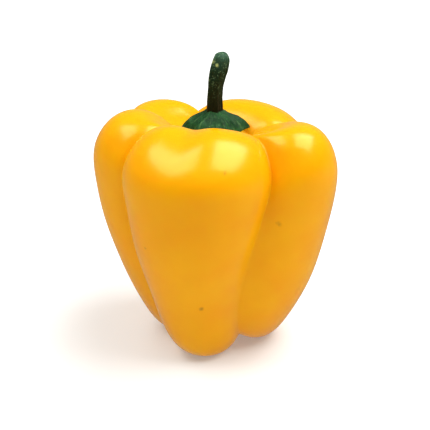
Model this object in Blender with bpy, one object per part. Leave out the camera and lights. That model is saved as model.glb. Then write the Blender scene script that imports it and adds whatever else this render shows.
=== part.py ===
"""A bell pepper that stands on the tips of its five lobes: fruit, calyx and stem.

The fruit's skin runs along meridians: from the seat under the calyx over the shoulder, down the
side, round the tip and in to the blossom end. Each lobe has a ridge, drawn as one such meridian,
and between two lobes a furrow runs deeper and parallel to them. Across a lobe the skin rises
from furrow to ridge and falls to the next furrow in a round arch. The tips are cut flat where
they stand. The calyx is a toothed cap that follows the skin round the seat, and the stem is a
ribbed stalk that leans over and ends in a round tip.

The model is in metres with +Z up and the ground at Z = 0. The dimensions below are millimetres,
and azimuths are degrees, 0 at -Y and growing towards +X.
"""
import math
from dataclasses import dataclass

import bmesh
import bpy
import numpy as np
from mathutils.bvhtree import BVHTree

MM = 0.001
GAP = 0.3               # clearance between the calyx and the stem


@dataclass(frozen=True)
class Lobe:
    """A lobe's ridge, from its crown beside the calyx down to the tip that it stands on."""

    crown_out: float        # distances out are from the fruit's axis
    crown_height: float
    shoulder_out: float
    waist_out: float
    heel_out: float
    tip_out: float


@dataclass(frozen=True)
class Furrow:
    """The furrow before a lobe, going round with growing azimuth."""

    azimuths: tuple         # at the shoulder, above the waist, below it, and at the foot
    depth_above: float      # part of the common depth, above and below the waist
    depth_below: float
    softness_below: float   # how much rounder the valley is below the waist than others are


LOBES = (
    Lobe(24, 81.5, 43.8, 41.4, 34.4, 19.4),
    Lobe(28.4, 79.4, 41.6, 38.4, 34.3, 15.4),
    Lobe(18.2, 77.1, 36.7, 37, 31.5, 16),
    Lobe(29, 75.3, 41.6, 37, 31.5, 16),
    Lobe(24.8, 79.4, 39.7, 37.4, 31.6, 13.7),
)
FURROWS = (
    Furrow((-58, -56, -53, -50), 0.85, 0.88, 1),
    Furrow((34, 22.5, 9.5, 32), 1.12, 0.73, 2.2),
    Furrow((93, 105, 107, 108), 1.1, 1, 1),
    Furrow((197, 184, 181, 180), 1, 1, 1),
    Furrow((247, 252, 247, 243), 0.9, 1, 1),
)
FRUIT_AXIS = (0.2, 3.8)         # X and Y of the axis, which stands behind the footprint's middle
SEAT_HEIGHT = 71                # skin under the calyx
WAIST_HEIGHT = 42
HEEL_HEIGHT = 24
BLOSSOM_HEIGHT = 9              # skin at the blossom end, between the tips
TIP_DIP = 0.7                   # how far a ridge's polygon reaches under the ground at its tip
FURROW_DEPTH = 0.216            # part of the distance out
FURROW_DROP = 4.1               # how much lower a furrow passes between two crowns
FURROW_RISE = 4.6               # how much higher it passes between two tips
# Part of the depth, drop and rise that applies at each point of the meridian's polygon.
DEPTH_SHARES = (0, 0, 0.3, 0.8, 1, 1, 1, 1, 1, 1, 1, 1, 1, 0.8, 0, 0)
DROP_SHARES = (0, 0, 0.2, 0.8, 1, 1, 0.8, 0.4, 0, 0, 0, 0, 0, 0, 0, 0)
RISE_SHARES = (0, 0, 0, 0, 0, 0, 0, 0, 0, 0.3, 0.8, 1, 1, 0.8, 0, 0)
# Stations run along a meridian from 0 at the seat to 1 at the blossom end.
ARCH_STATIONS = (0.2, 0.35, 0.6, 0.8)
ARCH_POWERS = (0.63, 0.63, 0.74, 0.7)       # fullness of the arch across a lobe
VALLEY_ROUNDINGS = (0.056, 0.056, 0.16, 0.12)
BELOW_WAIST = (0.35, 0.6)                   # stations between which softness_below sets in
DEPTH_STATIONS = (0.36, 0.65)
AZIMUTH_STATIONS = (0.1, 0.9)
CLEFT_DEPTH = (0.9, 2.0)                    # shallow cleft in the front lobe's crown: in, down
CLEFT_PLACE = (0.41, 0.13)                  # part of the way across the lobe, and its width
CLEFT_STATION = (0.3, 0.09)
SEGMENTS_PER_LOBE = 16
SKIN_RINGS = 44

CALYX_TEETH = (88, 148, 208, 268, 328, 28)      # azimuth of each tooth
CALYX_RADIUS = 9.6              # between two teeth
TOOTH_REACH = 2.2
TOOTH_SHARPNESS = 2.2
CALYX_EDGE = 1.2                # thickness of the rim
CALYX_CLEARANCE = 0.5           # upright clearance over the skin, which rises steeply at the rim
CALYX_CROWN = 79.3              # height of the flat that the stem grows from
CALYX_FALL = 3.8
CROWN_RADIUS = 2.9
CALYX_SEGMENTS = 60
CALYX_RINGS = 18

# Polygon of the stem: X and height above the calyx, and the radius.
STEM_POLYGON = ((0, 0, 2.5), (0, 6, 2.3), (0.4, 11, 2.5), (1.5, 15.6, 2.95), (2.9, 20, 2.6))
STEM_RIBS = 5
RIB_DEPTH = 0.06                # part of the radius
TIP_ROUNDING = 0.1              # part of the length that the round tip takes
STEM_SEGMENTS = 30
STEM_RINGS = 22


def spline(polygon, along):
    """Points of the even cubic B-spline of a polygon, which starts and ends at its end points."""
    corners = np.array(polygon, float)
    before = 2 * corners[0] - corners[1]
    after = 2 * corners[-1] - corners[-2]
    corners = np.vstack((before, corners, after))
    position = np.clip(along, 0, 1) * (len(corners) - 3)
    first = np.minimum(position.astype(int), len(corners) - 4)
    part = (position - first)[:, None]
    weights = ((1 - part) ** 3, 3 * part ** 3 - 6 * part ** 2 + 4,
               1 + 3 * part + 3 * part ** 2 - 3 * part ** 3, part ** 3)
    return sum(weight * corners[first + step] for step, weight in enumerate(weights)) / 6


def ease(share):
    """A share from 0 to 1 that starts and ends gently."""
    return share * share * (3 - 2 * share)


def ridge_polygon(lobe):
    """Polygon of a lobe's ridge: distance out and height of each point."""
    out, top = lobe.crown_out, lobe.crown_height
    side, tip = lobe.shoulder_out, lobe.tip_out
    return np.array((
        (0, SEAT_HEIGHT), (6, SEAT_HEIGHT), (11, SEAT_HEIGHT + 0.5),
        (out - 9, top - 3), (out - 2, top + 1.6), (out + 8, top + 1), (side + 1, top - 9),
        (side, top - 21), (lobe.waist_out, WAIST_HEIGHT), (lobe.heel_out, HEEL_HEIGHT),
        (tip + 11, 8), (tip + 5, -TIP_DIP), (tip - 5, -TIP_DIP), (tip - 11, 6),
        (5, BLOSSOM_HEIGHT), (0, BLOSSOM_HEIGHT)))


def furrow_line(index, stations):
    """Meridian of the furrow before a lobe, at its share of the common depth."""
    furrow = FURROWS[index]
    level = (ridge_polygon(LOBES[index - 1]) + ridge_polygon(LOBES[index])) / 2
    sunken = level.copy()
    sunken[:, 0] *= 1 - FURROW_DEPTH * np.array(DEPTH_SHARES)
    sunken[:, 1] += FURROW_RISE * np.array(RISE_SHARES)
    sunken[:, 1] -= FURROW_DROP * furrow.depth_above * np.array(DROP_SHARES)
    share = np.interp(stations, DEPTH_STATIONS, (furrow.depth_above, furrow.depth_below))
    above, below = spline(level, stations), spline(sunken, stations)
    outs = above[:, 0] + (below[:, 0] - above[:, 0]) * share
    return np.column_stack((outs, below[:, 1]))


def furrow_azimuths(furrow, stations):
    """Azimuth of a furrow at each station."""
    start, end = AZIMUTH_STATIONS
    first, last = furrow.azimuths[0], furrow.azimuths[-1]
    polygon = [(azimuth,) for azimuth in (first, first, *furrow.azimuths, last)]
    return spline(polygon, (stations - start) / (end - start))[:, 0]


def arch(index, across, stations):
    """Share of the way from furrow to ridge, for each share of the way across a lobe."""
    power = np.interp(stations, ARCH_STATIONS, ARCH_POWERS)
    rounding = np.interp(stations, ARCH_STATIONS, VALLEY_ROUNDINGS)
    start = FURROWS[index].softness_below
    end = FURROWS[(index + 1) % len(FURROWS)].softness_below
    softness = start + (end - start) * ease(across)
    rounding *= 1 + (softness - 1) * np.interp(stations, BELOW_WAIST, (0, 1))
    rise = np.sin(math.pi * across)
    round_rise = np.sqrt(rise ** 2 + rounding ** 2) - rounding
    return (round_rise / (np.sqrt(1 + rounding ** 2) - rounding)) ** power


def bell(values, middle, width):
    """A smooth bump of height 1 round the middle."""
    return np.exp(-((values - middle) / width) ** 2)


def lobe_skin(index, across, stations):
    """Points of one lobe's skin, for shares of the way across it and stations down it."""
    after = (index + 1) % len(LOBES)
    start = furrow_azimuths(FURROWS[index], stations)
    width = (furrow_azimuths(FURROWS[after], stations) - start) % 360
    angles = np.radians(start + across * width)
    before, behind = furrow_line(index, stations), furrow_line(after, stations)
    valley = before + (behind - before) * ease(across)[:, None]
    ridge = spline(ridge_polygon(LOBES[index]), stations)
    outs, heights = (valley + (ridge - valley) * arch(index, across, stations)[:, None]).T
    if index == 0:
        cleft = bell(across, *CLEFT_PLACE) * bell(stations, *CLEFT_STATION)
        outs = outs - cleft * CLEFT_DEPTH[0]
        heights = heights - cleft * CLEFT_DEPTH[1]
    return np.column_stack((outs * np.sin(angles), -outs * np.cos(angles), heights))


def place(vertices, points):
    """Move mesh vertices to points given in millimetres from the fruit's axis."""
    for vertex, (east, north, height) in zip(vertices, points):
        vertex.co = ((east + FRUIT_AXIS[0]) * MM, (north + FRUIT_AXIS[1]) * MM, height * MM)


def coordinates(vertices):
    """The places of mesh vertices, as an array."""
    return np.array([vertex.co[:] for vertex in vertices])


def azimuths_of(points):
    """Azimuth of each point."""
    return np.degrees(np.arctan2(points[:, 0], -points[:, 1]))


def material(name, colour, roughness):
    """A plain surface for one piece; the colour is linear."""
    surface = bpy.data.materials.new(name)
    surface.use_nodes = True
    shader = surface.node_tree.nodes["Principled BSDF"]
    shader.inputs["Base Color"].default_value = (*colour, 1)
    shader.inputs["Roughness"].default_value = roughness
    shader.inputs["Metallic"].default_value = 0
    surface.diffuse_color = (*colour, 1)
    return surface


def finish(bm, name, surface):
    """Turn a finished bmesh into a smooth-shaded object of the scene."""
    bmesh.ops.recalc_face_normals(bm, faces=bm.faces)
    if bm.calc_volume(signed=True) < 0:
        bmesh.ops.reverse_faces(bm, faces=bm.faces)
    mesh = bpy.data.meshes.new(name)
    bm.to_mesh(mesh)
    bm.free()
    mesh.materials.append(surface)
    mesh.shade_smooth()
    mesh.set_sharp_from_angle(angle=math.radians(50))
    piece = bpy.data.objects.new(name, mesh)
    bpy.context.scene.collection.objects.link(piece)
    return piece


def make_fruit():
    """Lay a sphere's rings along the meridians and cut the tips flat at the ground."""
    bm = bmesh.new()
    segments = SEGMENTS_PER_LOBE * len(LOBES)
    bmesh.ops.create_uvsphere(bm, u_segments=segments, v_segments=SKIN_RINGS, radius=1)
    unit = coordinates(bm.verts)
    stations = np.arccos(np.clip(unit[:, 2], -1, 1)) / math.pi
    columns = np.round(azimuths_of(unit) * segments / 360) % segments
    points = np.zeros(unit.shape)
    for index in range(len(LOBES)):
        mine = columns // SEGMENTS_PER_LOBE == index
        across = columns[mine] / SEGMENTS_PER_LOBE - index
        points[mine] = lobe_skin(index, across, stations[mine])
    place(bm.verts, points)
    everything = bm.verts[:] + bm.edges[:] + bm.faces[:]
    bmesh.ops.bisect_plane(bm, geom=everything, plane_co=(0, 0, 0), plane_no=(0, 0, 1),
                           clear_inner=True)
    rims = [edge for edge in bm.edges if edge.is_boundary]
    feet = bmesh.ops.holes_fill(bm, edges=rims)["faces"]
    bmesh.ops.poke(bm, faces=feet)
    return finish(bm, "fruit", material("waxy yellow skin", (0.95, 0.43, 0.005), 0.35))


def heights_over(fruit, plan):
    """Height of the fruit's skin under each X, Y of an array, in millimetres from its axis."""
    tree = BVHTree.FromPolygons([vertex.co for vertex in fruit.data.vertices],
                                [polygon.vertices for polygon in fruit.data.polygons])
    heights = []
    for east, north in plan:
        above = ((east + FRUIT_AXIS[0]) * MM, (north + FRUIT_AXIS[1]) * MM, 1)
        heights.append(tree.ray_cast(above, (0, 0, -1))[0].z / MM)
    return np.array(heights)


def calyx_reach(azimuths):
    """Radius of the calyx's edge, which peaks at each tooth."""
    reach = np.full(len(azimuths), float(CALYX_RADIUS))
    for tooth in CALYX_TEETH:
        apart = np.abs((azimuths - tooth + 180) % 360 - 180) / (180 / len(CALYX_TEETH))
        reach += TOOTH_REACH * np.clip(1 - apart, 0, 1) ** TOOTH_SHARPNESS
    return reach


def make_calyx(fruit):
    """Press a sphere into a cap: its lower half follows the skin, its upper half is domed."""
    bm = bmesh.new()
    bmesh.ops.create_uvsphere(bm, u_segments=CALYX_SEGMENTS, v_segments=CALYX_RINGS, radius=1)
    unit = coordinates(bm.verts)
    share = np.clip(np.hypot(unit[:, 0], unit[:, 1]), 0, 1)
    reach = calyx_reach(azimuths_of(unit))
    plan = unit[:, :2] * reach[:, None]
    underside = heights_over(fruit, plan) + CALYX_CLEARANCE
    crown_share = CROWN_RADIUS / CALYX_RADIUS
    slope = np.clip((share - crown_share) / (1 - crown_share), 0, 1)
    dome = CALYX_CROWN - CALYX_FALL * slope ** 2.2
    rim = underside + CALYX_EDGE * np.sqrt(np.clip(1 - share ** 6, 0, 1))
    heights = np.where(unit[:, 2] > 1e-4, np.maximum(dome, rim), underside)
    place(bm.verts, np.column_stack((plan, heights)))
    return finish(bm, "calyx", material("dull green calyx", (0.02, 0.09, 0.035), 0.55))


def make_stem():
    """Bend a ribbed peg along the stem's path and round its upper end."""
    bm = bmesh.new()
    bmesh.ops.create_cone(bm, cap_ends=True, segments=STEM_SEGMENTS, radius1=1, radius2=1, depth=1)
    uprights = [edge for edge in bm.edges if abs(edge.verts[0].co.z - edge.verts[1].co.z) > 0.5]
    bmesh.ops.subdivide_edges(bm, edges=uprights, cuts=STEM_RINGS - 2)
    unit = coordinates(bm.verts)
    along = 1 - (0.5 - unit[:, 2]) ** 1.4
    east, height, radius = spline(STEM_POLYGON, along).T
    step = spline(STEM_POLYGON, along + 0.01) - spline(STEM_POLYGON, along - 0.01)
    lean = np.arctan2(step[:, 0], step[:, 1]) * np.clip(along * 5, 0, 1)
    angles = np.arctan2(unit[:, 1], unit[:, 0])
    end = np.clip((along - 1 + TIP_ROUNDING) / TIP_ROUNDING, 0, 0.985)
    radius *= (1 + RIB_DEPTH * np.cos(STEM_RIBS * angles)) * np.sqrt(1 - end ** 2)
    across = radius * np.cos(angles)
    place(bm.verts, np.column_stack((
        east + across * np.cos(lean), radius * np.sin(angles),
        CALYX_CROWN + GAP + height - across * np.sin(lean))))
    return finish(bm, "stem", material("dark green stalk", (0.008, 0.035, 0.012), 0.6))


def main():
    """Empty the scene and make the three pieces."""
    for leftover in list(bpy.data.objects):
        bpy.data.objects.remove(leftover)
    fruit = make_fruit()
    make_calyx(fruit)
    make_stem()


main()
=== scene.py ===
"""Looks of a ripe yellow bell pepper: its waxy skin, green calyx and stalk, and the studio.

The fruit is laid along the same meridians as its CAD solid, with a finer mesh and the small dents
and wrinkles that a grown skin has. Lengths in the classes are millimetres and azimuths are
degrees, 0 at -Y and growing towards +X. Meshes are in metres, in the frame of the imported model.
"""
import logging
import math
from dataclasses import dataclass
from enum import Enum
from typing import Mapping, Optional, Sequence, Union

import bmesh
import bpy
import numpy as np
from mathutils import Euler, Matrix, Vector, noise
from mathutils.bvhtree import BVHTree


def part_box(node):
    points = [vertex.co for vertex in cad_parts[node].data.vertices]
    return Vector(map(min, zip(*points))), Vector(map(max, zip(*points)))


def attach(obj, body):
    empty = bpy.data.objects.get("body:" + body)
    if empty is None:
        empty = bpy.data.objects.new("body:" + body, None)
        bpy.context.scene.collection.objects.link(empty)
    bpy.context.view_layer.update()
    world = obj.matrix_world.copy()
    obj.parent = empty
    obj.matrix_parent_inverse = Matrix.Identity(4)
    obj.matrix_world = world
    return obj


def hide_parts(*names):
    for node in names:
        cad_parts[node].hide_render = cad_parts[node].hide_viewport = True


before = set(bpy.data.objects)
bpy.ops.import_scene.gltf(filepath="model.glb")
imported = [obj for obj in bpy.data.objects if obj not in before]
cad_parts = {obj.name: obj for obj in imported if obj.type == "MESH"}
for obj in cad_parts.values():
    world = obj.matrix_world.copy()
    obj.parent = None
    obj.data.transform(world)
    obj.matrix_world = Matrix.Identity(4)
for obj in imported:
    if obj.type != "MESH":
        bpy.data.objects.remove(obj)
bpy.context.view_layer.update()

LOG = logging.getLogger("bell_pepper")
MM = 0.001
BODY = "root"
WHITE = "#FFFFFF"
SEAT_HEIGHT = 71.0      # of the skin under the calyx
BLOSSOM_HEIGHT = 9.0    # of the skin between the tips
TIP_DIP = 0.7           # how far a tip's curve would go below the ground
Colour = tuple[float, float, float, float]


class Node(Enum):
    """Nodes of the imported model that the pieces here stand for."""

    FRUIT = "fruit"
    CALYX = "calyx"
    STEM = "stem"


# ---------------------------------------------------------------- small tools


def linear(hex_colour: str) -> Colour:
    """Turn an sRGB hex colour into the linear colour that a shader takes.

    Args:
        hex_colour: Six hex digits after a "#".

    Returns:
        Red, green, blue and an alpha of 1.
    """
    parts = [int(hex_colour[at:at + 2], 16) / 255 for at in (1, 3, 5)]
    curve = [part / 12.92 if part <= 0.04045 else ((part + 0.055) / 1.055) ** 2.4
             for part in parts]
    return (curve[0], curve[1], curve[2], 1.0)


def repeats(size: float) -> float:
    """Texture scale whose pattern repeats about every `size` millimetres."""
    return 1 / (size * MM)


def add_node(tree: bpy.types.NodeTree, kind: str,
             inputs: Optional[Mapping[Union[str, int], object]] = None,
             **settings: object) -> bpy.types.Node:
    """Add a node with its settings, input values and links.

    Args:
        tree: Node tree that gets the node.
        kind: Blender's name for the kind of node, without its "ShaderNode".
        inputs: What goes into each input, by the input's name or number: a socket or a value.
        settings: Values of the node's own settings.

    Returns:
        The new node.
    """
    node = tree.nodes.new("ShaderNode" + kind)
    for name, value in settings.items():
        setattr(node, name, value)
    for name, value in (inputs or {}).items():
        if isinstance(value, bpy.types.NodeSocket):
            tree.links.new(value, node.inputs[name])
        else:
            node.inputs[name].default_value = value
    return node


def new_material(name: str) -> tuple[bpy.types.Material, bpy.types.NodeTree, bpy.types.Node]:
    """Make a material with an empty Principled surface.

    Args:
        name: The material's name.

    Returns:
        The material, its node tree and its Principled node.
    """
    surface = bpy.data.materials.new(name)
    surface.use_nodes = True
    tree = surface.node_tree
    return surface, tree, tree.nodes["Principled BSDF"]


def set_values(node: bpy.types.Node, values: Mapping[str, object]) -> None:
    """Set uniform values straight on a node's own sockets.

    Args:
        node: Node whose sockets are set.
        values: Value of each socket, by name.
    """
    for name, value in values.items():
        node.inputs[name].default_value = value


@dataclass(frozen=True)
class Spot:
    """A small mark on a surface, with soft and ragged edges."""

    place: tuple[float, float, float]
    radius: float
    strength: float


RAG_SIZE = 1.2          # how long the rags of a spot's edge are
RAG_DEPTH = 0.8         # how far they reach
SPOT_FADE = 1.7         # where a spot ends, as a multiple of its radius


def add_spots(tree: bpy.types.NodeTree, colour: bpy.types.NodeSocket, spots: Sequence[Spot],
              paint: str) -> bpy.types.NodeSocket:
    """Mark a colour with spots.

    Args:
        tree: The material's node tree.
        colour: The colour that gets the spots.
        spots: The spots.
        paint: Their colour.

    Returns:
        The marked colour.
    """
    place = add_node(tree, "TexCoord").outputs["Object"]
    rags = add_node(tree, "TexNoise", {"Vector": place, "Scale": repeats(RAG_SIZE),
                                       "Detail": 3.0})
    ragged = add_node(tree, "MapRange", {"Value": rags.outputs[0], "To Min": -RAG_DEPTH * MM,
                                         "To Max": RAG_DEPTH * MM})
    for spot in spots:
        away = add_node(tree, "VectorMath", {0: place, 1: [part * MM for part in spot.place]},
                        operation="DISTANCE")
        frayed = add_node(tree, "Math", {0: away.outputs["Value"], 1: ragged.outputs[0]})
        cover = add_node(tree, "MapRange", {
            "Value": frayed.outputs[0], "From Min": spot.radius * MM * SPOT_FADE,
            "From Max": 0.0, "To Max": spot.strength})
        colour = add_node(tree, "Mix", {0: cover.outputs[0], 6: colour, 7: linear(paint)},
                          data_type="RGBA").outputs[2]
    return colour


def spline(polygon: Sequence[Sequence[float]], along: np.ndarray) -> np.ndarray:
    """Points of the even cubic B-spline of a polygon, from its first to its last point.

    Args:
        polygon: Corner points of the polygon.
        along: Places on the spline, from 0 to 1.

    Returns:
        One row for each place.
    """
    corners = np.array(polygon, float)
    before = 2 * corners[0] - corners[1]
    after = 2 * corners[-1] - corners[-2]
    corners = np.vstack((before, corners, after))
    position = np.clip(along, 0, 1) * (len(corners) - 3)
    first = np.minimum(position.astype(int), len(corners) - 4)
    part = (position - first)[:, None]
    weights = ((1 - part) ** 3, 3 * part ** 3 - 6 * part ** 2 + 4,
               1 + 3 * part + 3 * part ** 2 - 3 * part ** 3, part ** 3)
    return sum(weight * corners[first + step] for step, weight in enumerate(weights)) / 6


def ease(share: np.ndarray) -> np.ndarray:
    """A share from 0 to 1 that starts and ends gently."""
    return share * share * (3 - 2 * share)


def bell(values: np.ndarray, middle: float, width: float) -> np.ndarray:
    """A smooth bump of height 1 round the middle."""
    return np.exp(-((values - middle) / width) ** 2)


def azimuths_of(points: np.ndarray) -> np.ndarray:
    """Azimuth of each point in degrees."""
    return np.degrees(np.arctan2(points[:, 0], -points[:, 1]))


def grown_noise(points: np.ndarray, sizes: Sequence[float], seed: float) -> np.ndarray:
    """Smooth irregularity of a grown surface.

    Args:
        points: Places in millimetres.
        sizes: How long the pattern is along X, Y and Z, in millimetres.
        seed: Shift that gives another pattern.

    Returns:
        A value from about -1 to 1 for each place.
    """
    places = points / np.array(sizes) + seed
    return np.array([noise.noise(Vector(place)) for place in places])


def coordinates(bm: bmesh.types.BMesh) -> np.ndarray:
    """The places of a bmesh's vertices."""
    return np.array([vertex.co[:] for vertex in bm.verts])


def move_vertices(bm: bmesh.types.BMesh, points: np.ndarray) -> None:
    """Move a bmesh's vertices to places given in millimetres."""
    for vertex, point in zip(bm.verts, points * MM):
        vertex.co = point


def normals_of(bm: bmesh.types.BMesh) -> np.ndarray:
    """The outward direction at each vertex of a bmesh."""
    bm.normal_update()
    return np.array([vertex.normal[:] for vertex in bm.verts])


def finished(bm: bmesh.types.BMesh, name: str, node: Node,
             surface: bpy.types.Material) -> bpy.types.Object:
    """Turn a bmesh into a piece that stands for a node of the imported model.

    Args:
        bm: The finished mesh, which is freed.
        name: The piece's name.
        node: Node that the piece stands for.
        surface: The piece's material.

    Returns:
        The new piece.
    """
    if bm.calc_volume(signed=True) < 0:
        bmesh.ops.reverse_faces(bm, faces=bm.faces)
    mesh = bpy.data.meshes.new(name)
    bm.to_mesh(mesh)
    bm.free()
    mesh.materials.append(surface)
    mesh.shade_smooth()
    piece = bpy.data.objects.new(name, mesh)
    bpy.context.scene.collection.objects.link(piece)
    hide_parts(node.value)
    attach(piece, BODY)
    LOG.info("%s: %d vertices, %d faces", name, len(mesh.vertices), len(mesh.polygons))
    return piece


# ---------------------------------------------------------------- the fruit


@dataclass(frozen=True)
class Lobe:
    """A lobe's ridge, from its crown beside the calyx down to the tip that it stands on."""

    crown_out: float
    crown_height: float
    shoulder_out: float
    waist_out: float
    heel_out: float
    tip_out: float
    lean: float = 0.0       # how far the crown's ridge leans back towards the furrow before it

    def polygon(self) -> np.ndarray:
        """Polygon of the ridge: distance out and height of each point."""
        out, top, side, tip = self.crown_out, self.crown_height, self.shoulder_out, self.tip_out
        return np.array((
            (0, SEAT_HEIGHT), (6, SEAT_HEIGHT), (11, SEAT_HEIGHT + 0.5),
            (out - 9, top - 3), (out - 2, top + 1.6),
            (out + 8, top + 1), (side + 1, top - 9), (side, top - 21), (self.waist_out, 42),
            (self.heel_out, 24), (tip + 11, 8), (tip + 5, -TIP_DIP), (tip - 5, -TIP_DIP),
            (tip - 11, 6), (5, BLOSSOM_HEIGHT), (0, BLOSSOM_HEIGHT)))


@dataclass(frozen=True)
class Furrow:
    """The furrow before a lobe, going round with growing azimuth."""

    azimuths: tuple[float, ...]
    depth_above: float = 1.0
    depth_below: float = 1.0
    softness_below: float = 1.0
    top: float = 0.1
    bottom: float = 0.9
    turn: tuple[float, float] = (0.36, 0.65)    # stations where the depth above turns to below

    def azimuth(self, stations: np.ndarray) -> np.ndarray:
        """Azimuth at each station of a meridian."""
        first, last = self.azimuths[0], self.azimuths[-1]
        polygon = [(azimuth,) for azimuth in (first, first, *self.azimuths, last)]
        return spline(polygon, (stations - self.top) / (self.bottom - self.top))[:, 0]

    def depth(self, stations: np.ndarray) -> np.ndarray:
        """Part of the common depth at each station of a meridian."""
        return np.interp(stations, self.turn, (self.depth_above, self.depth_below))


@dataclass(frozen=True)
class WaxySkin:
    """Ripe pepper skin, grown and never polished: a thin yellowish wax over deep yellow flesh.

    The flesh lets light in and gives it back a little redder, and the wax throws soft, broad
    highlights of the lights that turn lemon yellow, and pale ones only along the outlines.
    """

    yellow: str = "#F2A504"
    orange: str = "#F19B03"
    lemon: str = "#F4AD06"
    cork: str = "#8A5A14"
    wax: str = "#FFF4A0"
    patch: float = 14.0
    wear: float = 6.0
    roughness: tuple[float, float] = (0.2, 0.28)
    swell: float = 3.5
    swell_depth: float = 0.05
    pore: float = 0.45          # some eight times coarser than skin cells, so that it shows
    pore_depth: float = 0.006
    flesh_depth: float = 4.0
    flesh_reach: tuple[float, float, float] = (1.0, 0.4, 0.08)
    blemishes: tuple[Spot, ...] = (
        Spot((-21.4, -30.5, 47.2), 0.5, 0.9),
        Spot((-3.8, -30.1, 25.6), 0.6, 0.6),
        Spot((20.0, -26.5, 54.2), 0.8, 0.5),
        Spot((3.2, -35.5, 74.2), 0.45, 0.55),
        Spot((-21.1, -25.2, 33.3), 0.5, 0.3),
        Spot((31.0, 20.0, 50.0), 0.6, 0.6),
        Spot((-24.0, 30.0, 38.0), 0.5, 0.6),
        Spot((0.2, 3.8, 9.0), 1.6, 0.9),
    )

    def material(self) -> bpy.types.Material:
        """Make the skin's material."""
        surface, tree, shader = new_material("waxed_grown_pepper_skin")
        place = add_node(tree, "TexCoord").outputs["Object"]
        patches = add_node(tree, "TexNoise", {"Vector": place, "Scale": repeats(self.patch),
                                              "Detail": 3.0, "Roughness": 0.45})
        orange_part = add_node(tree, "MapRange", {"Value": patches.outputs[0], "From Min": 0.5,
                                                  "From Max": 0.75, "To Max": 0.6})
        lemon_part = add_node(tree, "MapRange", {"Value": patches.outputs[0], "From Min": 0.5,
                                                 "From Max": 0.25, "To Max": 0.6})
        colour = add_node(tree, "Mix", {0: orange_part.outputs[0], 6: linear(self.yellow),
                                        7: linear(self.orange)}, data_type="RGBA")
        colour = add_node(tree, "Mix", {0: lemon_part.outputs[0], 6: colour.outputs[2],
                                        7: linear(self.lemon)}, data_type="RGBA")
        spotted = add_spots(tree, colour.outputs[2], self.blemishes, self.cork)
        tree.links.new(spotted, shader.inputs["Base Color"])
        wear = add_node(tree, "TexNoise", {"Vector": place, "Scale": repeats(self.wear),
                                           "Detail": 4.0})
        gloss = add_node(tree, "MapRange", {"Value": wear.outputs[0],
                                            "To Min": self.roughness[0],
                                            "To Max": self.roughness[1]})
        tree.links.new(gloss.outputs[0], shader.inputs["Roughness"])
        pores = add_node(tree, "TexNoise", {"Vector": place, "Scale": repeats(self.pore),
                                            "Detail": 2.0})
        swell = add_node(tree, "TexNoise", {"Vector": place, "Scale": repeats(self.swell),
                                            "Detail": 1.0})
        waves = add_node(tree, "Bump", {"Height": swell.outputs[0], "Strength": 1.0,
                                        "Distance": self.swell_depth * MM})
        relief = add_node(tree, "Bump", {"Height": pores.outputs[0], "Strength": 1.0,
                                         "Distance": self.pore_depth * MM,
                                         "Normal": waves.outputs[0]})
        tree.links.new(relief.outputs[0], shader.inputs["Normal"])
        set_values(shader, {"IOR": 1.45, "Specular IOR Level": 0.6, "Subsurface Weight": 0.25,
                            "Subsurface Radius": self.flesh_reach,
                            "Subsurface Scale": self.flesh_depth * MM,
                            "Specular Tint": linear(self.wax)})
        return surface


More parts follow.
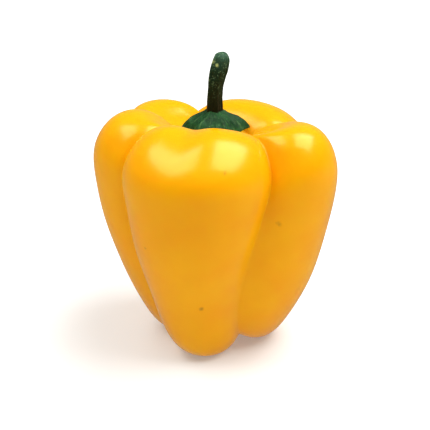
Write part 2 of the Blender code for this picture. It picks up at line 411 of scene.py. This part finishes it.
@dataclass
class Fruit:
    """The five-lobed fruit, laid on a sphere's rings along its meridians."""

    axis: tuple[float, float] = (0.2, 3.8)
    lobes: tuple[Lobe, ...] = (
        Lobe(24, 81.5, 43.8, 41.4, 34.4, 19.4),
        Lobe(28.4, 79.4, 41.6, 38.4, 34.3, 15.4, 0.5),
        Lobe(18.2, 77.1, 36.7, 37, 31.5, 16),
        Lobe(29, 75.3, 41.6, 37, 31.5, 16),
        Lobe(24.8, 79.4, 39.7, 37.4, 31.6, 13.7),
    )
    furrows: tuple[Furrow, ...] = (
        Furrow((-58, -56, -53, -50), 0.85, 0.88),
        Furrow((34, 22.5, 9.5, 32), 1.12, 0.76, 1.5),
        Furrow((93, 105, 107, 108), 1.1),
        Furrow((197, 184, 181, 180)),
        Furrow((247, 252, 247, 243), 0.9),
    )
    furrow_depth: float = 0.216
    furrow_drop: float = 4.1
    furrow_rise: float = 4.6
    columns_per_lobe: int = 60
    rings: int = 260
    column_spread: float = 0.1
    dent_size: float = 17.0
    dent_depth: float = 0.28
    arch_stations: tuple[float, ...] = (0.2, 0.35, 0.6, 0.8)
    arch_powers: tuple[float, ...] = (0.63, 0.63, 0.74, 0.7)
    valley_roundings: tuple[float, ...] = (0.056, 0.056, 0.16, 0.12)
    lean_stations: tuple[float, float] = (0.4, 0.6)         # where a leaning crown straightens
    soft_stations: tuple[float, float] = (0.35, 0.6)        # where a softer furrow begins
    cleft_place: tuple[float, float] = (0.41, 0.13)         # across the front lobe's crown
    cleft_station: tuple[float, float] = (0.3, 0.09)
    cleft_depth: tuple[float, float] = (0.9, 2.0)           # inwards and down
    skin: WaxySkin = WaxySkin()

    def furrow_line(self, index: int, stations: np.ndarray) -> np.ndarray:
        """Meridian of the furrow before a lobe.

        Args:
            index: Number of the lobe.
            stations: Places along the meridian, from 0 at the seat to 1 at the blossom end.

        Returns:
            Distance out and height at each station.
        """
        depth_shares = np.array((0, 0, 0.3, 0.8, 1, 1, 1, 1, 1, 1, 1, 1, 1, 0.8, 0, 0))
        drop_shares = np.array((0, 0, 0.2, 0.8, 1, 1, 0.8, 0.4, 0, 0, 0, 0, 0, 0, 0, 0))
        rise_shares = np.array((0, 0, 0, 0, 0, 0, 0, 0, 0, 0.3, 0.8, 1, 1, 0.8, 0, 0))
        furrow = self.furrows[index]
        level = (self.lobes[index - 1].polygon() + self.lobes[index].polygon()) / 2
        sunken = level.copy()
        sunken[:, 0] *= 1 - self.furrow_depth * depth_shares
        sunken[:, 1] += self.furrow_rise * rise_shares
        sunken[:, 1] -= self.furrow_drop * furrow.depth_above * drop_shares
        above, below = spline(level, stations), spline(sunken, stations)
        outs = above[:, 0] + (below[:, 0] - above[:, 0]) * furrow.depth(stations)
        return np.column_stack((outs, below[:, 1]))

    def arch(self, index: int, across: np.ndarray, stations: np.ndarray) -> np.ndarray:
        """Share of the way from furrow to ridge.

        Args:
            index: Number of the lobe.
            across: Share of the way across the lobe.
            stations: Places along the meridian.

        Returns:
            A share for each place.
        """
        power = np.interp(stations, self.arch_stations, self.arch_powers)
        rounding = np.interp(stations, self.arch_stations, self.valley_roundings)
        start = self.furrows[index].softness_below
        end = self.furrows[(index + 1) % len(self.furrows)].softness_below
        softness = start + (end - start) * ease(across)
        rounding *= 1 + (softness - 1) * np.interp(stations, self.soft_stations, (0, 1))
        lean = self.lobes[index].lean * np.interp(stations, self.lean_stations, (1, 0))
        leant = across + lean * across * (1 - across)
        rise = np.sin(math.pi * leant)
        round_rise = np.sqrt(rise ** 2 + rounding ** 2) - rounding
        return (round_rise / (np.sqrt(1 + rounding ** 2) - rounding)) ** power

    def lobe_skin(self, index: int, across: np.ndarray, stations: np.ndarray) -> np.ndarray:
        """Points of one lobe's skin.

        Args:
            index: Number of the lobe.
            across: Share of the way across the lobe.
            stations: Places along the meridian.

        Returns:
            Points in millimetres from the fruit's axis.
        """
        after = (index + 1) % len(self.lobes)
        start = self.furrows[index].azimuth(stations)
        width = (self.furrows[after].azimuth(stations) - start) % 360
        angles = np.radians(start + across * width)
        before, behind = self.furrow_line(index, stations), self.furrow_line(after, stations)
        valley = before + (behind - before) * ease(across)[:, None]
        ridge = spline(self.lobes[index].polygon(), stations)
        rise = self.arch(index, across, stations)[:, None]
        outs, heights = (valley + (ridge - valley) * rise).T
        if index == 0:
            cleft = bell(across, *self.cleft_place) * bell(stations, *self.cleft_station)
            outs = outs - cleft * self.cleft_depth[0]
            heights = heights - cleft * self.cleft_depth[1]
        return np.column_stack((outs * np.sin(angles), -outs * np.cos(angles), heights))

    def build(self) -> bpy.types.Object:
        """Lay the skin, dent it as it grew, and stand it on its tips.

        Returns:
            The fruit.
        """
        bm = bmesh.new()
        columns_round = self.columns_per_lobe * len(self.lobes)
        bmesh.ops.create_uvsphere(bm, u_segments=columns_round, v_segments=self.rings, radius=1)
        unit = coordinates(bm)
        stations = np.arccos(np.clip(unit[:, 2], -1, 1)) / math.pi
        columns = np.round(azimuths_of(unit) * columns_round / 360) % columns_round
        points = np.zeros(unit.shape)
        for index in range(len(self.lobes)):
            mine = columns // self.columns_per_lobe == index
            share = columns[mine] / self.columns_per_lobe - index
            across = share - self.column_spread * np.sin(2 * math.pi * share)
            points[mine] = self.lobe_skin(index, across, stations[mine])
        points[:, :2] += self.axis
        move_vertices(bm, points)
        size = self.dent_size
        dents = (grown_noise(points, (size, size, size * 1.6), 3.1)
                 + 0.35 * grown_noise(points, (size / 2, size / 2, size), 7.7))
        points += normals_of(bm) * (dents * self.dent_depth)[:, None]
        low, high = (np.array(corner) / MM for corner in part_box(Node.FRUIT.value))
        points[:, 2] = np.maximum(points[:, 2], low[2])
        built_low, built_high = points.min(0), points.max(0)
        points = low + (points - built_low) * (high - low) / (built_high - built_low)
        move_vertices(bm, points)
        return finished(bm, "fruit_skin", Node.FRUIT, self.skin.material())


# ---------------------------------------------------------------- calyx and stalk


@dataclass(frozen=True)
class CalyxTissue:
    """Living calyx tissue, fibrous and dull: dark green with lighter scratches and flecks, shade
    painted in its pits.
    """

    deep: str = "#0E3216"
    green: str = "#1F5026"
    fleck: str = "#5F8A50"
    # painted shade, put into the pits of the crumb relief
    shade: str = "#0C1A12"
    fibres_round: float = 7.0
    fibre_length: float = 5.0
    fibre_depth: float = 0.25
    mottle: float = 2.6
    crumb: float = 0.9          # coarser than real, so that the flecks show
    crumb_depth: float = 0.15

    def material(self, centre: tuple[float, float]) -> bpy.types.Material:
        """Make the calyx's material.

        Args:
            centre: X and Y of the calyx's middle, in millimetres.

        Returns:
            The material.
        """
        surface, tree, shader = new_material("fibrous_calyx_tissue")
        place = add_node(tree, "TexCoord").outputs["Object"]
        local = add_node(tree, "Mapping", {
            "Vector": place, "Location": (-centre[0] * MM, -centre[1] * MM, 0)}).outputs[0]
        parts = add_node(tree, "SeparateXYZ", {0: local})
        angle = add_node(tree, "Math", {0: parts.outputs[1], 1: parts.outputs[0]},
                         operation="ARCTAN2")
        flat = add_node(tree, "VectorMath", {0: local, 1: (1, 1, 0)}, operation="MULTIPLY")
        out = add_node(tree, "VectorMath", {0: flat.outputs[0]}, operation="LENGTH")
        polar = add_node(tree, "CombineXYZ", {0: angle.outputs[0], 1: out.outputs["Value"]})
        fibres = add_node(tree, "Mapping", {"Vector": polar.outputs[0],
                                            "Scale": (self.fibres_round,
                                                      repeats(self.fibre_length), 1)})
        streaks = add_node(tree, "TexNoise", {"Vector": fibres.outputs[0], "Scale": 1.0,
                                              "Detail": 5.0, "Roughness": 0.6})
        mottle = add_node(tree, "TexNoise", {"Vector": place, "Scale": repeats(self.mottle),
                                             "Detail": 4.0, "Roughness": 0.6})
        crumbs = add_node(tree, "TexNoise", {"Vector": place, "Scale": repeats(self.crumb),
                                             "Detail": 3.0, "Roughness": 0.7})
        tone = add_node(tree, "MapRange", {"Value": mottle.outputs[0], "From Min": 0.35,
                                           "From Max": 0.65})
        colour = add_node(tree, "Mix", {0: tone.outputs[0], 6: linear(self.deep),
                                        7: linear(self.green)}, data_type="RGBA")
        scratch = add_node(tree, "MapRange", {"Value": streaks.outputs[0], "From Min": 0.56,
                                              "From Max": 0.72, "To Max": 0.5})
        colour = add_node(tree, "Mix", {0: scratch.outputs[0], 6: colour.outputs[2],
                                        7: linear(self.fleck)}, data_type="RGBA")
        dots = add_node(tree, "MapRange", {"Value": crumbs.outputs[0], "From Min": 0.6,
                                           "From Max": 0.72, "To Max": 0.6})
        colour = add_node(tree, "Mix", {0: dots.outputs[0], 6: colour.outputs[2],
                                        7: linear(self.fleck)}, data_type="RGBA")
        # Painted shade: the shade colour darkens the low points of the crumb noise, which are the
        # pits of the relief below.
        painted_pit_shade = add_node(tree, "MapRange", {"Value": crumbs.outputs[0], "From Min": 0.42,
                                           "From Max": 0.3, "To Max": 0.7})
        colour = add_node(tree, "Mix", {0: painted_pit_shade.outputs[0], 6: colour.outputs[2],
                                        7: linear(self.shade)}, data_type="RGBA")
        tree.links.new(colour.outputs[2], shader.inputs["Base Color"])
        fibre_relief = add_node(tree, "Bump", {"Height": streaks.outputs[0],
                                               "Distance": self.fibre_depth * MM,
                                               "Strength": 1.0})
        relief = add_node(tree, "Bump", {"Height": crumbs.outputs[0], "Strength": 1.0,
                                         "Distance": self.crumb_depth * MM,
                                         "Normal": fibre_relief.outputs[0]})
        tree.links.new(relief.outputs[0], shader.inputs["Normal"])
        set_values(shader, {"Roughness": 0.5, "IOR": 1.42, "Specular IOR Level": 0.15,
                            "Subsurface Weight": 0.1, "Subsurface Radius": (0.3, 1.0, 0.2),
                            "Subsurface Scale": 0.8 * MM})
        return surface


@dataclass(frozen=True)
class Tooth:
    """One tooth of the calyx's edge."""

    azimuth: float
    reach: float
    half_width: float
    sharpness: float


@dataclass
class Calyx:
    """The toothed cap that the fruit hangs from, pressed to the skin of the seat."""

    centre: tuple[float, float] = (0.2, 3.8)
    radius: float = 9.4
    teeth: tuple[Tooth, ...] = (
        Tooth(88, 2.2, 30, 2.0),
        Tooth(148, 1.6, 30, 1.8),
        Tooth(208, 2.0, 30, 2.0),
        Tooth(270, 1.9, 38, 0.9),
        Tooth(328, 2.2, 34, 1.2),
        Tooth(26, 1.8, 26, 1.2),
    )
    edge: float = 1.7
    crown: float = 79.3
    fall: float = 3.8
    crown_radius: float = 2.6
    collar: float = 2.0
    lifted_tooth: float = 88.0
    lift: float = 2.2
    gap: float = 0.25           # over the skin
    free: float = 0.3           # how far any edge stands off the skin
    rib_height: float = 0.3
    blend: float = 0.25
    crumple_depth: float = 0.16
    edge_share: float = 0.95    # where the skin under the edge is measured
    columns: int = 240
    rings: int = 120
    tissue: CalyxTissue = CalyxTissue()

    def reach(self, azimuths: np.ndarray) -> np.ndarray:
        """Radius of the edge at each azimuth."""
        reach = np.full(len(azimuths), self.radius)
        for tooth in self.teeth:
            apart = np.abs((azimuths - tooth.azimuth + 180) % 360 - 180) / tooth.half_width
            reach += tooth.reach * np.clip(1 - apart, 0, 1) ** tooth.sharpness
        wave = np.radians(azimuths)
        return reach + 0.12 * np.sin(9 * wave + 1) + 0.08 * np.sin(17 * wave)

    def midribs(self, azimuths: np.ndarray) -> np.ndarray:
        """How near each azimuth is to the middle of a tooth, from 0 to 1."""
        near = np.zeros(len(azimuths))
        for tooth in self.teeth:
            apart = (azimuths - tooth.azimuth + 180) % 360 - 180
            near = np.maximum(near, bell(apart, 0, 12))
        return near

    def edge_ground(self, fruit: bpy.types.Object, azimuths: np.ndarray) -> np.ndarray:
        """Height of the fruit's skin just inside the edge.

        Args:
            fruit: The fruit that the cap sits on.
            azimuths: Azimuth of each place, many of them alike.

        Returns:
            Heights in millimetres.
        """
        around, column = np.unique(np.round(azimuths, 3), return_inverse=True)
        turn = np.radians(around)
        outward = np.column_stack((np.sin(turn), -np.cos(turn)))
        plan = outward * (self.reach(around) * self.edge_share)[:, None] + self.centre
        return skin_heights(fruit, plan)[column]

    def build(self, fruit: bpy.types.Object) -> bpy.types.Object:
        """Press a sphere into the cap: skin below, dome above, and a rolled edge between.

        Args:
            fruit: The fruit that the cap sits on.

        Returns:
            The calyx.
        """
        bm = bmesh.new()
        bmesh.ops.create_uvsphere(bm, u_segments=self.columns, v_segments=self.rings, radius=1)
        unit = coordinates(bm)
        azimuths = azimuths_of(unit)
        share = np.clip(np.hypot(unit[:, 0], unit[:, 1]), 0, 1)
        plan = unit[:, :2] * self.reach(azimuths)[:, None] + self.centre
        ground = skin_heights(fruit, plan)
        slope = np.clip((share * self.radius - self.crown_radius)
                        / (self.radius - self.crown_radius), 0, None)
        apart = (azimuths - self.lifted_tooth + 180) % 360 - 180
        free = self.free + self.lift * bell(apart, 0, 40)
        low_edge = self.edge_ground(fruit, azimuths) + self.gap + free + self.edge
        dome = self.crown - np.maximum(self.crown - low_edge, self.fall) * slope ** 2.1
        dome += self.collar * bell(share * self.radius, 0, 3.2)
        ribs = self.midribs(azimuths) * bell(share, 0.7, 0.25) * self.rib_height
        closing = np.sqrt(np.clip(1 - share ** 10, 0, 1))
        lifted = ease(np.clip((share - 0.5) / 0.4, 0, 1)) * np.clip(
            dome - self.edge - ground - self.gap, 0, free)
        underside = ground + self.gap + lifted
        rim = underside + self.edge
        upper = np.logaddexp((dome + ribs) / self.blend, rim / self.blend) * self.blend
        middle = (upper + underside) / 2
        top = unit[:, 2] > 1e-4
        heights = middle + np.where(top, upper - middle, underside - middle) * closing
        points = np.column_stack((plan, heights))
        move_vertices(bm, points)
        crumple = (grown_noise(points, (2.4, 2.4, 2.4), 1.3)
                   + 0.5 * grown_noise(points, (1.1, 1.1, 1.1), 5.2))
        fade = np.where(top, bell(share, 0.75, 0.45), 0)
        points += normals_of(bm) * (crumple * fade * self.crumple_depth)[:, None]
        move_vertices(bm, points)
        return finished(bm, "calyx_cap", Node.CALYX, self.tissue.material(self.centre))


def skin_heights(fruit: bpy.types.Object, plan: np.ndarray) -> np.ndarray:
    """Height of the fruit's skin under each X, Y.

    Args:
        fruit: The fruit.
        plan: X and Y of each place, in millimetres.

    Returns:
        Heights in millimetres.
    """
    tree = BVHTree.FromPolygons([vertex.co for vertex in fruit.data.vertices],
                                [polygon.vertices for polygon in fruit.data.polygons])
    down = Vector((0, 0, -1))
    return np.array([tree.ray_cast(Vector((east * MM, north * MM, 1)), down)[0].z / MM
                     for east, north in plan])


@dataclass(frozen=True)
class StalkRind:
    """Rind of a cut stalk: nearly black green with brown streaks, paler towards its tip."""

    dark: str = "#0C1E10"
    brown: str = "#10190B"
    green: str = "#143C20"
    pale_tip: str = "#3C6048"
    pale_speck: str = "#CCDA84"
    fleck: str = "#6E9066"
    # pale specks near the tip
    pale_specks: tuple[Spot, ...] = (
        Spot((0.2, 2.6, 96.9), 0.6, 1.0),
        Spot((1.1, 1.5, 96.0), 0.45, 0.9),
    )
    base_height: float = 79.5
    tip_height: float = 99.7
    streak: tuple[float, float] = (1.0, 12.0)   # across and along
    streak_depth: float = 0.3
    mottle: float = 1.6
    mottle_depth: float = 0.2
    crumb: float = 0.6

    def material(self) -> bpy.types.Material:
        """Make the stalk's material."""
        surface, tree, shader = new_material("ribbed_stalk_rind")
        place = add_node(tree, "TexCoord").outputs["Object"]
        long_way = add_node(tree, "Mapping", {"Vector": place,
                                              "Scale": (repeats(self.streak[0]),
                                                        repeats(self.streak[0]),
                                                        repeats(self.streak[1]))})
        streaks = add_node(tree, "TexNoise", {"Vector": long_way.outputs[0], "Scale": 1.0,
                                              "Detail": 4.0, "Roughness": 0.6})
        mottle = add_node(tree, "TexNoise", {"Vector": place, "Scale": repeats(self.mottle),
                                             "Detail": 4.0, "Roughness": 0.65})
        height = add_node(tree, "SeparateXYZ", {0: place}).outputs[2]
        brown_part = add_node(tree, "MapRange", {"Value": streaks.outputs[0], "From Min": 0.45,
                                                 "From Max": 0.6})
        colour = add_node(tree, "Mix", {0: brown_part.outputs[0], 6: linear(self.dark),
                                        7: linear(self.brown)}, data_type="RGBA")
        up = add_node(tree, "MapRange", {"Value": height, "From Min": (self.base_height + 3) * MM,
                                         "From Max": (self.tip_height - 6) * MM})
        green_part = add_node(tree, "Math", {0: up.outputs[0], 1: mottle.outputs[0]},
                              operation="MULTIPLY")
        colour = add_node(tree, "Mix", {0: green_part.outputs[0], 6: colour.outputs[2],
                                        7: linear(self.green)}, data_type="RGBA")
        # Paler towards the tip, broken up by the mottle.
        top = add_node(tree, "MapRange", {"Value": height, "From Min": (self.tip_height - 6) * MM,
                                          "From Max": (self.tip_height - 2) * MM})
        pale_tip_part = add_node(tree, "Math", {0: top.outputs[0], 1: mottle.outputs[0]},
                            operation="MULTIPLY")
        colour = add_node(tree, "Mix", {0: pale_tip_part.outputs[0], 6: colour.outputs[2],
                                        7: linear(self.pale_tip)}, data_type="RGBA")
        crumbs = add_node(tree, "TexNoise", {"Vector": place, "Scale": repeats(self.crumb),
                                             "Detail": 2.0})
        dots = add_node(tree, "MapRange", {"Value": crumbs.outputs[0], "From Min": 0.57,
                                           "From Max": 0.68, "To Max": 0.7})
        dots_part = add_node(tree, "Math", {0: dots.outputs[0], 1: up.outputs[0]},
                             operation="MULTIPLY")
        colour = add_node(tree, "Mix", {0: dots_part.outputs[0], 6: colour.outputs[2],
                                        7: linear(self.fleck)}, data_type="RGBA")
        # Pale specks near the tip.
        specked = add_spots(tree, colour.outputs[2], self.pale_specks, self.pale_speck)
        tree.links.new(specked, shader.inputs["Base Color"])
        rib_relief = add_node(tree, "Bump", {"Height": streaks.outputs[0], "Strength": 1.0,
                                             "Distance": self.streak_depth * MM})
        relief = add_node(tree, "Bump", {"Height": mottle.outputs[0], "Strength": 1.0,
                                         "Distance": self.mottle_depth * MM,
                                         "Normal": rib_relief.outputs[0]})
        tree.links.new(relief.outputs[0], shader.inputs["Normal"])
        set_values(shader, {"Roughness": 0.55, "IOR": 1.42, "Specular IOR Level": 0.2})
        return surface


@dataclass
class Stem:
    """The ribbed stalk, which leans over and ends in a round cut.

    The polygon gives X and height above the base, and the radius.
    """

    centre: tuple[float, float] = (0.2, 3.8)
    base: float = 79.2
    polygon: tuple[tuple[float, float, float], ...] = (
        (0, 0, 2.7), (0, 6, 2.3), (0.4, 11, 2.5), (1.5, 15.6, 2.95), (3.0, 20.4, 2.3))
    ribs: int = 5
    rib_depth: float = 0.08
    tip_part: float = 0.12
    wrinkle_depth: float = 0.13
    columns: int = 120
    rings: int = 150
    rind: StalkRind = StalkRind()

    def build(self) -> bpy.types.Object:
        """Bend a peg along the stalk's line, rib it and round its end.

        Returns:
            The stalk.
        """
        bm = bmesh.new()
        bmesh.ops.create_cone(bm, cap_ends=True, segments=self.columns, radius1=1, radius2=1,
                              depth=1)
        uprights = [edge for edge in bm.edges
                    if abs(edge.verts[0].co.z - edge.verts[1].co.z) > 0.5]
        bmesh.ops.subdivide_edges(bm, edges=uprights, cuts=self.rings)
        unit = coordinates(bm)
        along = 1 - (0.5 - unit[:, 2]) ** 1.4
        east, height, radius = spline(self.polygon, along).T
        step = spline(self.polygon, along + 0.01) - spline(self.polygon, along - 0.01)
        lean = np.arctan2(step[:, 0], step[:, 1]) * np.clip(along * 5, 0, 1)
        angles = np.arctan2(unit[:, 1], unit[:, 0])
        end = np.clip((along - 1 + self.tip_part) / self.tip_part, 0, 0.998)
        ribbed = (np.cos(self.ribs * angles + 0.6 * along)
                  + 0.35 * np.cos(11 * angles + 2 * along + 1))
        radius = radius * (1 + self.rib_depth * ribbed * (1 - end)) * np.sqrt(1 - end ** 2.2)
        across = radius * np.cos(angles)
        points = np.column_stack((
            self.centre[0] + east + across * np.cos(lean),
            self.centre[1] + radius * np.sin(angles),
            self.base + height - across * np.sin(lean)))
        move_vertices(bm, points)
        wrinkles = (grown_noise(points, (1.6, 1.6, 7.0), 2.2)
                    + 0.6 * grown_noise(points, (0.9, 0.9, 2.0), 8.4))
        points += normals_of(bm) * (wrinkles * self.wrinkle_depth)[:, None]
        move_vertices(bm, points)
        return finished(bm, "stem_stalk", Node.STEM, self.rind.material())


# ---------------------------------------------------------------- studio


def direction_of(azimuth: float, elevation: float) -> Vector:
    """Direction from the fruit towards an azimuth and elevation in degrees."""
    turn, rise = math.radians(azimuth), math.radians(elevation)
    return Vector((math.sin(turn) * math.cos(rise), -math.cos(turn) * math.cos(rise),
                   math.sin(rise)))


@dataclass(frozen=True)
class Softbox:
    """A lamp that faces the fruit from a direction and a distance."""

    azimuth: float
    elevation: float
    distance: float
    width: float
    height: float
    power: float


@dataclass(frozen=True)
class Glow:
    """A soft patch of light in the room, round a direction.

    The room's reflectors are flagged, as a studio does: some of them light the skin without being
    mirrored in its wax, and others are only mirrored.
    """

    azimuth: float
    elevation: float
    lit: float
    mirrored: float


@dataclass
class Studio:
    """The camera, the lights and the floor."""

    target: tuple[float, float, float] = (0.41, 3.8, 42.8)
    elevation: float = 24.75
    distance: float = 304.4
    lens: float = 74.26
    floor_colour: str = "#D9D9D7"
    floor_glow: float = 0.33
    floor_radius: float = 3000.0
    softboxes: tuple[Softbox, ...] = (
        Softbox(-93, 62, 1350, 1000, 640, 10.5),
        Softbox(93, 64, 1350, 1250, 870, 26.0),
    )
    glows: tuple[Glow, ...] = (
        Glow(0, -30, 0.0, 0.05),
        Glow(90, 25, 0.12, 0.0),
        Glow(90, -30, 0.0, 0.1),
        Glow(-90, 25, 0.18, 0.0),
        Glow(-90, -30, 0.0, 0.15),
        Glow(180, 25, 0.05, 0.04),
        Glow(180, -30, 0.0, 0.3),
        Glow(0, 90, 0.65, 0.0),
        Glow(0, -90, 0.0, 0.1),
    )

    def build(self) -> None:
        """Set up the camera, the lights, the world and the floor."""
        self.add_camera()
        for number, softbox in enumerate(self.softboxes):
            self.add_softbox(number, softbox)
        self.add_world()
        self.add_floor()
        bpy.context.scene.view_settings.view_transform = "Standard"

    def add_camera(self) -> None:
        """Aim the camera at the fruit, from in front and a little above."""
        data = bpy.data.cameras.new("camera")
        data.lens = self.lens
        data.clip_start = 0.01
        camera = bpy.data.objects.new("camera", data)
        back = direction_of(0, self.elevation)
        camera.location = (Vector(self.target) + back * self.distance) * MM
        camera.rotation_euler = Euler((math.radians(90 - self.elevation), 0, 0))
        bpy.context.scene.collection.objects.link(camera)
        bpy.context.scene.camera = camera

    def add_softbox(self, number: int, softbox: Softbox) -> None:
        """Hang one softbox, facing the fruit.

        Args:
            number: Number of the softbox, for its name.
            softbox: Its place, size and power.
        """
        data = bpy.data.lights.new(f"softbox_{number}", "AREA")
        data.shape = "RECTANGLE"
        data.size = softbox.width * MM
        data.size_y = softbox.height * MM
        data.energy = softbox.power
        lamp = bpy.data.objects.new(f"softbox_{number}", data)
        direction = direction_of(softbox.azimuth, softbox.elevation)
        lamp.location = (Vector(self.target) + direction * softbox.distance) * MM
        lamp.rotation_euler = direction.to_track_quat("Z", "Y").to_euler()
        bpy.context.scene.collection.objects.link(lamp)

    def add_world(self) -> None:
        """Surround the fruit with the room's glows, and show the camera a plain white room."""
        world = bpy.data.worlds.new("studio_room")
        world.use_nodes = True
        tree = world.node_tree
        way = add_node(tree, "VectorMath", {0: add_node(tree, "TexCoord").outputs["Generated"]},
                       operation="NORMALIZE").outputs[0]
        lit: Union[float, bpy.types.NodeSocket] = 0.0
        mirrored: Union[float, bpy.types.NodeSocket] = 0.0
        for glow in self.glows:
            near = add_node(tree, "VectorMath", {
                0: way, 1: direction_of(glow.azimuth, glow.elevation)},
                operation="DOT_PRODUCT")
            facing = add_node(tree, "Math", {0: near.outputs["Value"], 1: 0.0},
                              operation="MAXIMUM")
            patch = add_node(tree, "Math", {0: facing.outputs[0], 1: 2.0}, operation="POWER")
            lit = add_node(tree, "Math", {0: patch.outputs[0], 1: glow.lit, 2: lit},
                           operation="MULTIPLY_ADD").outputs[0]
            mirrored = add_node(tree, "Math", {0: patch.outputs[0], 1: glow.mirrored,
                                               2: mirrored}, operation="MULTIPLY_ADD").outputs[0]
        ray = add_node(tree, "LightPath")
        cast = add_node(tree, "Mix", {0: ray.outputs["Is Glossy Ray"], 2: lit, 3: mirrored})
        strength = add_node(tree, "Mix", {0: ray.outputs["Is Camera Ray"], 2: cast.outputs[0],
                                          3: 1.0})
        background = tree.nodes["Background"]
        background.inputs["Color"].default_value = linear(WHITE)
        tree.links.new(strength.outputs[0], background.inputs["Strength"])
        bpy.context.scene.world = world

    def add_floor(self) -> None:
        """Lay a plain pale floor under the fruit."""
        bm = bmesh.new()
        bmesh.ops.create_circle(bm, cap_ends=True, segments=96, radius=self.floor_radius * MM)
        mesh = bpy.data.meshes.new("studio_floor")
        bm.to_mesh(mesh)
        bm.free()
        surface, _, shader = new_material("pale_studio_floor")
        set_values(shader, {"Base Color": linear(self.floor_colour), "Roughness": 0.9,
                            "Specular IOR Level": 0.1, "Emission Strength": self.floor_glow,
                            "Emission Color": linear(self.floor_colour)})
        mesh.materials.append(surface)
        floor = bpy.data.objects.new("studio_floor", mesh)
        bpy.context.scene.collection.objects.link(floor)
        floor.visible_glossy = False


def main() -> None:
    """Build the fruit, the calyx, the stalk and the studio, in that order."""
    logging.basicConfig(level=logging.INFO, format="%(message)s")
    fruit = Fruit().build()
    Calyx().build(fruit)
    Stem().build()
    Studio().build()


if __name__ == "__main__":
    main()
